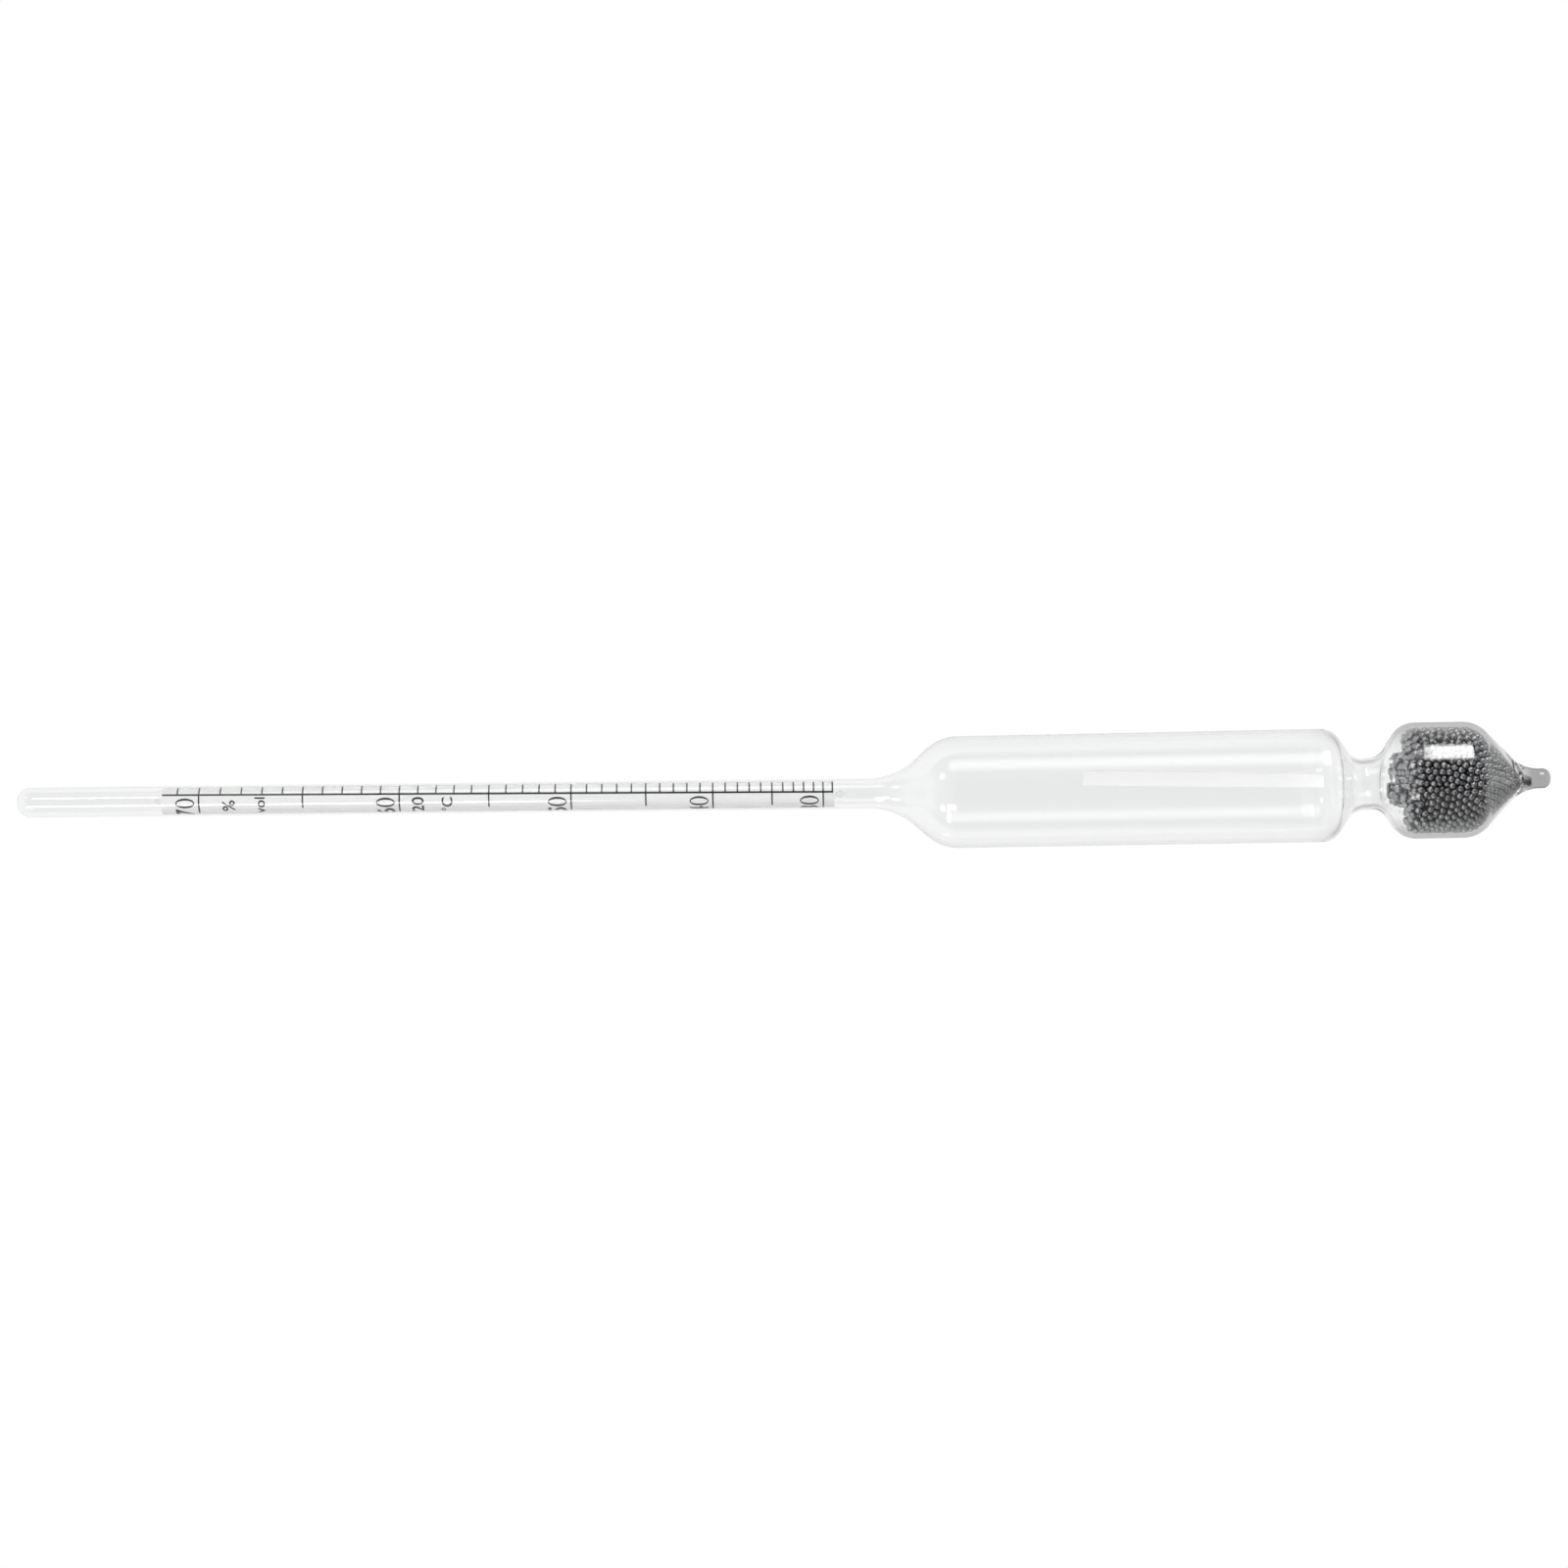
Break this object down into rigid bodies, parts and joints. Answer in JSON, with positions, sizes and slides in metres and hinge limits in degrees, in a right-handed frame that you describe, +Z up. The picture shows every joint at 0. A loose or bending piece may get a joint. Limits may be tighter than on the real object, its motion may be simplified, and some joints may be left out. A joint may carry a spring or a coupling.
{
  "type": "hydrometer",
  "caption": "Glass spirit hydrometer: a thin sealed stem holding a printed percent scale, a wide float body, and a necked bulb of ballast shot with a drawn tip.",
  "frame": {"origin": "middle of the bounding box, on the surface that the hydrometer lies on", "axes": "+X from the stem's closed top towards the ballast tip, +Z up, away from the surface it lies on"},
  "size_m": [0.28, 0.0216, 0.0212],
  "materials": {
    "clear_glass": "polished",
    "scale_paper": "matte",
    "slip_paper": "matte",
    "clear_glue": "satin",
    "polished_shot": "polished"
  },
  "bodies": {
    "root": {"stem_tube": "clear_glass", "float_body": "clear_glass", "ballast_bulb": "clear_glass", "scale_paper": "scale_paper", "scale_glue_top": "clear_glue", "scale_glue_bottom": "clear_glue", "paper_slip": "slip_paper", "shot_bed": "polished_shot", "shot_01": "polished_shot", "shot_02": "polished_shot", "shot_03": "polished_shot", "shot_04": "polished_shot", "shot_05": "polished_shot", "shot_06": "polished_shot", "shot_07": "polished_shot", "shot_08": "polished_shot", "shot_09": "polished_shot", "shot_10": "polished_shot", "shot_11": "polished_shot", "shot_12": "polished_shot", "shot_13": "polished_shot", "shot_14": "polished_shot", "shot_15": "polished_shot", "shot_16": "polished_shot", "shot_17": "polished_shot", "shot_18": "polished_shot", "shot_19": "polished_shot", "shot_20": "polished_shot", "shot_21": "polished_shot", "shot_22": "polished_shot", "shot_23": "polished_shot", "shot_24": "polished_shot", "shot_25": "polished_shot", "shot_26": "polished_shot", "shot_27": "polished_shot", "shot_28": "polished_shot", "shot_29": "polished_shot", "shot_30": "polished_shot", "shot_31": "polished_shot", "shot_32": "polished_shot", "shot_33": "polished_shot", "shot_34": "polished_shot", "shot_35": "polished_shot", "shot_36": "polished_shot", "shot_37": "polished_shot"}
  },
  "joints": []
}
